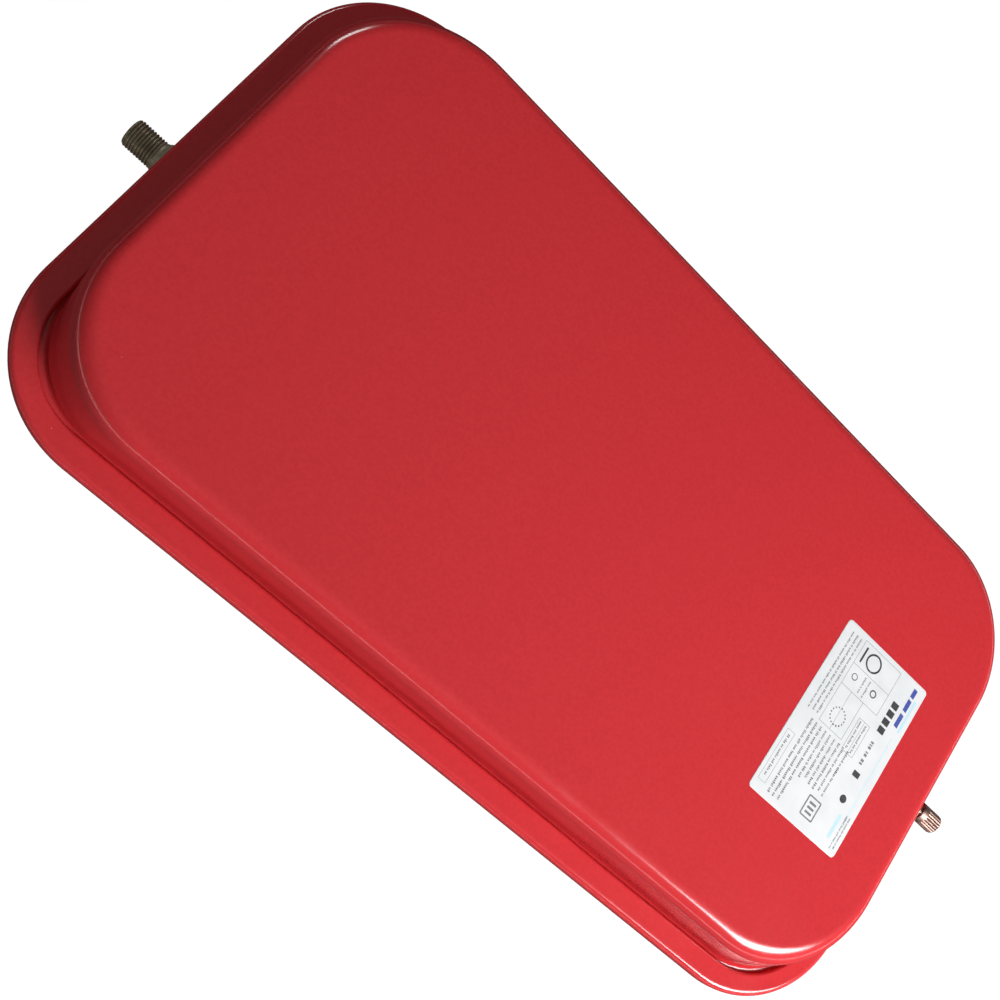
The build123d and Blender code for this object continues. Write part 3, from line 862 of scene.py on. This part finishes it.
def print_label():
    page = Print()
    # heading: plain bars in two blues
    for u, width in ((3.0, 4.6), (9.0, 6.2), (17.0, 7.0)):
        page.bar(u, 47.8, width, 2.3, BLUE, 0.3)
    page.bar(8.0, 51.2, 17.5, 1.3, PALE)
    # title line: heavy blocks, light blocks, a heavy block, a black dot
    for k in range(4):
        page.bar(15.0 + 4.5 * k, 41.4, 3.3, 4.0, BLACK)
    page.words(37.2, 50.0, 42.0, 2.4, GREY)
    page.bar(53.0, 41.8, 2.8, 4.0, BLACK)
    page.disc(67.2, 44.3, 1.9, BLACK)
    # small print along the top and the end
    page.words(30.0, 74.0, 50.3, 0.9, PALE)
    page.words(72.0, 89.0, 52.2, 0.9, GREY)
    page.words(72.0, 89.0, 50.4, 0.9, GREY)
    page.bar(73.5, 46.6, 12.0, 1.6, PALE)
    # table frames
    page.frame(2.5, 13.0, 26.5, 37.5, 0.18, GREY)
    page.line(15.0, 13.0, 15.0, 37.5, 0.18, GREY)
    page.frame(26.5, 13.0, 47.0, 28.0, 0.18, GREY)
    page.line(26.5, 20.0, 47.0, 20.0, 0.15, GREY)
    page.frame(33.0, 30.5, 50.0, 37.5, 0.18, GREY)
    page.line(33.0, 34.0, 50.0, 34.0, 0.15, GREY)
    page.frame(60.0, 2.2, 86.0, 6.6, 0.15, GREY)
    # plain signs: ring with a bar, two small rings, a dotted ring, a barred box
    page.ring(8.7, 22.5, 4.6, 0.9, BLACK)
    page.bar(4.6, 15.2, 8.2, 1.0, BLACK)
    page.ring(20.0, 17.4, 1.7, 0.4, BLACK)
    page.ring(20.0, 30.2, 1.9, 0.6, BLACK)
    for k in range(16):
        angle = 2 * math.pi * k / 16
        page.disc(40.0 + 4.2 * math.cos(angle), 20.4 + 4.2 * math.sin(angle), 0.42, GREY)
    page.frame(76.0, 28.8, 85.4, 36.0, 0.7, BLACK)
    for k in range(3):
        page.bar(78.0 + 2.3 * k, 30.4, 1.1, 4.0, BLACK)
    # text columns
    for row in range(6):
        page.words(49.0, 73.5, 33.6 - 3.0 * row, 1.25, GREY)
    for row in range(3):
        page.words(49.0, 88.0, 15.4 - 3.0 * row, 1.35, GREY)
    for row in range(3):
        page.words(4.0, 46.0, 10.0 - 2.7 * row, 1.1, GREY)
    page.words(62.0, 84.0, 3.7, 1.3, GREY)
    for row in range(2):
        page.words(34.0, 49.0, 31.6 + 3.4 * row, 1.2, GREY)
        page.words(16.4, 25.6, 25.4 - 3.0 * row, 1.0, GREY)
    page.finish()


# ---------------------------------------------------------------- small parts that keep their CAD shape
def dress_small_parts():
    looks = {
        "core_plug": (BRASS, "core_brass"),
        "core_barrel": (BRASS, "core_brass"),
        "core_plunger": (BRASS, "core_brass"),
        "core_barrel_seal": (SEAL_RUBBER, "seal_rubber"),
        "core_plunger_seal": (SEAL_RUBBER, "seal_rubber"),
        "cap_gasket": (SEAL_RUBBER, "seal_rubber"),
        "core_pin": (STEEL, "core_steel"),
    }
    for node, (material, slot) in looks.items():
        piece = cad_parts[node]
        piece.data.materials.clear()
        piece.data.materials.append(material)


# ---------------------------------------------------------------- stage
def make_floor():
    """Pale floor that curves up into a pale wall all round. Only the camera sees it, so it casts nothing."""
    profile = [(0.01, 0), (5.0, 0), (5.7, 0.2), (6.1, 0.7), (6.3, 1.6), (6.3, 8.0)]
    around = 64
    vertices = []
    for radius, height in profile:
        for step in range(around):
            angle = 2 * math.pi * step / around
            vertices.append((radius * math.cos(angle), radius * math.sin(angle), height))
    mesh = bpy.data.meshes.new("floor")
    mesh.from_pydata(vertices, [], strip_faces(len(profile), around, False) + [tuple(range(around))])
    floor = bpy.data.objects.new("floor", mesh)
    bpy.context.scene.collection.objects.link(floor)
    floor.location.z = -0.0002
    n = Nodes("pale_floor")
    colour = n.ramp(n.noise(3, 2), (0.3, (0.06, 0.06, 0.06)), (0.7, (0.08, 0.08, 0.08)))
    n.set(Emission_Strength=0.985)
    n.shader.inputs["Emission Color"].default_value = (1, 1, 1, 1)
    mesh.materials.append(n.finish(colour, n.span(n.noise(20, 2), 0.85, 0.95)))
    floor.visible_diffuse = False
    floor.visible_glossy = False
    floor.visible_shadow = False


def area_light(name, at, towards, width, height, power, spread=180):
    """A rectangular softbox at a place, facing a point. Spread is the angle that its grid lets through."""
    light = bpy.data.lights.new(name, "AREA")
    light.shape = "RECTANGLE"
    light.size, light.size_y = width, height
    light.energy = power
    light.spread = math.radians(spread)
    lamp = bpy.data.objects.new(name, light)
    bpy.context.scene.collection.objects.link(lamp)
    lamp.location = at
    lamp.rotation_euler = (Vector(towards) - Vector(at)).to_track_quat("-Z", "Y").to_euler()
    return lamp


ROOM_SHADES = (
    (0.0, 0.08), (0.46, 0.1), (0.488, 0.1), (0.492, 4.2), (0.508, 4.2), (0.514, 0.1), (0.8, 0.1), (0.95, 0.26)
)
WINDOW_SIDE = (0.576, -0.817, 0.0)
LIGHT_CENTRE = Vector((0.05, 0, 0.08))


def from_direction(azimuth, elevation, distance):
    """A place at a distance from the point that the lights are set round."""
    a, e = math.radians(azimuth), math.radians(elevation)
    return LIGHT_CENTRE + distance * Vector(
        (math.cos(e) * math.cos(a), math.cos(e) * math.sin(a), math.sin(e))
    )


def make_world():
    """Dim room: pale towards the windows, dark opposite, with a thin bright line where table meets wall."""
    world = bpy.data.worlds.new("studio")
    world.use_nodes = True
    tree = world.node_tree

    def node(kind, **settings):
        made = tree.nodes.new(kind)
        for key, value in settings.items():
            setattr(made, key, value)
        return made

    view = node("ShaderNodeTexCoord").outputs["Generated"]
    parts = node("ShaderNodeSeparateXYZ")
    tree.links.new(view, parts.inputs["Vector"])
    height = node("ShaderNodeMapRange")
    height.inputs["From Min"].default_value = -1
    tree.links.new(parts.outputs["Z"], height.inputs["Value"])
    band = node("ShaderNodeValToRGB")
    tree.links.new(height.outputs["Result"], band.inputs["Fac"])
    elements = band.color_ramp.elements
    while len(elements) < len(ROOM_SHADES):
        elements.new(0.5)
    for element, (position, grey) in zip(elements, ROOM_SHADES):
        element.position = position
        element.color = (grey, grey, grey, 1)

    side = node("ShaderNodeVectorMath", operation="DOT_PRODUCT")
    tree.links.new(view, side.inputs[0])
    side.inputs[1].default_value = WINDOW_SIDE
    fade = node("ShaderNodeMapRange")
    for key, value in (("From Min", -1.0), ("From Max", 1.0), ("To Min", 0.15), ("To Max", 1.6)):
        fade.inputs[key].default_value = value
    tree.links.new(side.outputs["Value"], fade.inputs["Value"])
    tree.links.new(band.outputs["Color"], tree.nodes["Background"].inputs["Color"])
    tree.links.new(fade.outputs["Result"], tree.nodes["Background"].inputs["Strength"])
    bpy.context.scene.world = world


def make_lights():
    area_light("key_window", from_direction(-25, 37, 1.3), (0.13, -0.06, 0.09), 0.72, 0.42, 4.2, 64)
    area_light("far_window", from_direction(142, 20, 1.2), LIGHT_CENTRE, 0.26, 0.14, 1.7)
    make_world()


def make_camera():
    camera = bpy.data.cameras.new("camera")
    camera.sensor_width = 36
    camera.lens = 43.17
    camera.shift_x = -0.0845
    camera.shift_y = 0.0506
    holder = bpy.data.objects.new("camera", camera)
    bpy.context.scene.collection.objects.link(holder)
    holder.location = (-0.1356, -0.1934, RIM_TOP * MM + 0.4674)
    holder.rotation_euler = [math.radians(angle) for angle in (5.830, -25.772, 38.126)]
    bpy.context.scene.camera = holder


make_camera()
make_shells()
make_weld("stub_weld", "stub_weld_bead", -STUB_WALL, -1, STUB_HEIGHT, STUB_COLLAR, 3.5, 3.4, 26)
make_weld("valve_weld", "valve_weld_bead", VALVE_WALL, 1, VALVE_HEIGHT, STEM_COLLAR, 1.8, 1.9, 20)
make_stub()
make_stem()
make_cap()
make_spring()
make_diaphragm()
make_label()
print_label()
dress_small_parts()
make_floor()
make_lights()
bpy.context.scene.view_settings.view_transform = "Standard"
